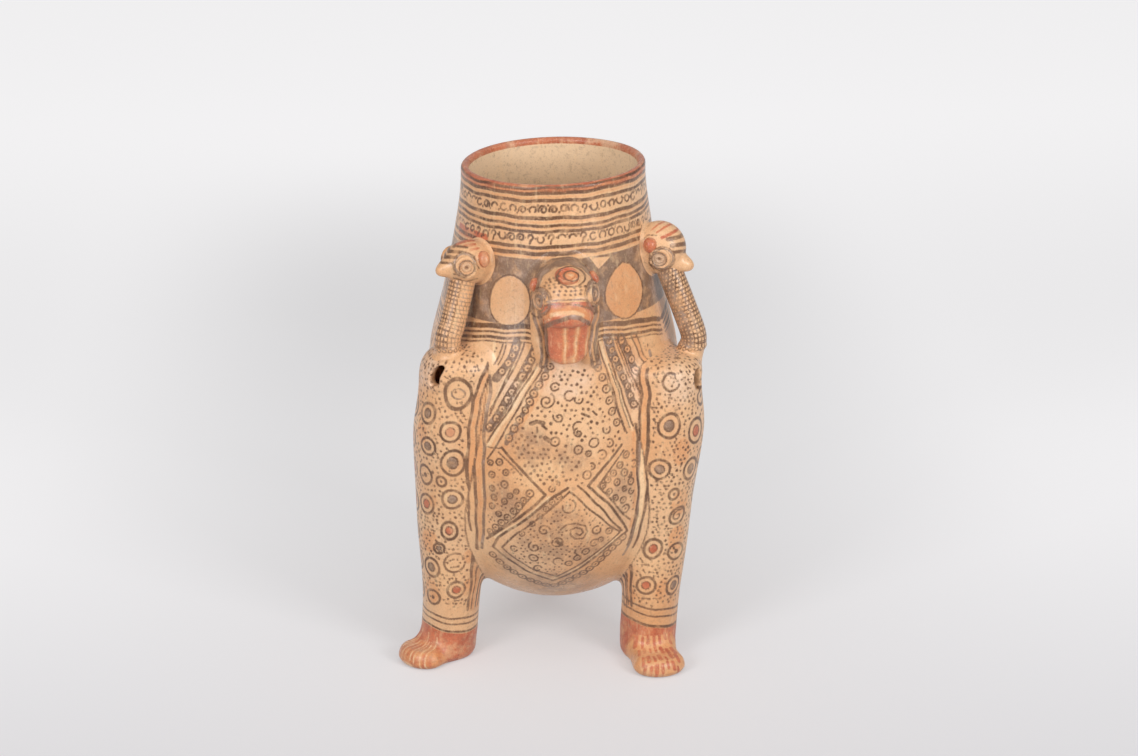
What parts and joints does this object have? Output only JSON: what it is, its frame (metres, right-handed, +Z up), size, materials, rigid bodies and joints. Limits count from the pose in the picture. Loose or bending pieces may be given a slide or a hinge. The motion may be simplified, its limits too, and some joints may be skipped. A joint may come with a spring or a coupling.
{
  "type": "zoomorphic vessel",
  "caption": "Tall painted clay jar on hollow rattle legs, with a feline head in relief on its collar between two long-necked birds.",
  "frame": {"origin": "middle of the whole vessel's footprint, on the ground it stands on", "axes": "+Z up, the feline's face looks along -Y, and the bird called right is at +X"},
  "size_m": [0.1966, 0.2058, 0.3267],
  "materials": {
    "cream_slip": "burnished cream slip with painted dark brown lines",
    "red_slip": "burnished red-orange slip",
    "grey_slip": "burnished grey-brown slip",
    "bare_clay": "unslipped fired clay, matte"
  },
  "bodies": {
    "vessel": {"base_bowl": "cream_slip", "belly_wall": "cream_slip", "collar_wall": "cream_slip", "rim_lip": "red_slip", "left_leg": "cream_slip", "left_foot": "red_slip", "right_leg": "cream_slip", "right_foot": "red_slip", "rear_leg": "cream_slip", "rear_foot": "red_slip", "feline_head": "cream_slip", "feline_muzzle": "red_slip", "feline_jaw": "red_slip", "forehead_boss": "red_slip", "feline_left_eye": "grey_slip", "feline_left_ear": "red_slip", "feline_right_eye": "grey_slip", "feline_right_ear": "red_slip", "left_bird_neck": "cream_slip", "left_bird_head": "cream_slip", "left_beak": "cream_slip", "left_bird_front_eye": "grey_slip", "left_bird_front_knob": "red_slip", "left_bird_back_eye": "grey_slip", "left_bird_back_knob": "red_slip", "right_bird_neck": "cream_slip", "right_bird_head": "cream_slip", "right_beak": "cream_slip", "right_bird_front_eye": "grey_slip", "right_bird_front_knob": "red_slip", "right_bird_back_eye": "grey_slip", "right_bird_back_knob": "red_slip"},
    "left_pellet_a": {"left_pellet_a": "bare_clay"},
    "left_pellet_b": {"left_pellet_b": "bare_clay"},
    "right_pellet_a": {"right_pellet_a": "bare_clay"},
    "right_pellet_b": {"right_pellet_b": "bare_clay"},
    "rear_pellet_a": {"rear_pellet_a": "bare_clay"},
    "rear_pellet_b": {"rear_pellet_b": "bare_clay"}
  },
  "joints": [
    {"name": "left_pellet_a_roll", "type": "slide", "parent": "vessel", "child": "left_pellet_a", "axis": [-0.0575, -0.1455, 0.9877], "range_m": [0, 0.0526]},
    {"name": "left_pellet_b_roll", "type": "slide", "parent": "vessel", "child": "left_pellet_b", "axis": [-0.0575, -0.1455, 0.9877], "range_m": [0, 0.0526]},
    {"name": "right_pellet_a_roll", "type": "slide", "parent": "vessel", "child": "right_pellet_a", "axis": [0.1684, -0.1158, 0.9789], "range_m": [0, 0.0531]},
    {"name": "right_pellet_b_roll", "type": "slide", "parent": "vessel", "child": "right_pellet_b", "axis": [0.1684, -0.1158, 0.9789], "range_m": [0, 0.0531]},
    {"name": "rear_pellet_a_roll", "type": "slide", "parent": "vessel", "child": "rear_pellet_a", "axis": [0, 0.1958, 0.9806], "range_m": [0, 0.053]},
    {"name": "rear_pellet_b_roll", "type": "slide", "parent": "vessel", "child": "rear_pellet_b", "axis": [0, 0.1958, 0.9806], "range_m": [0, 0.053]}
  ]
}
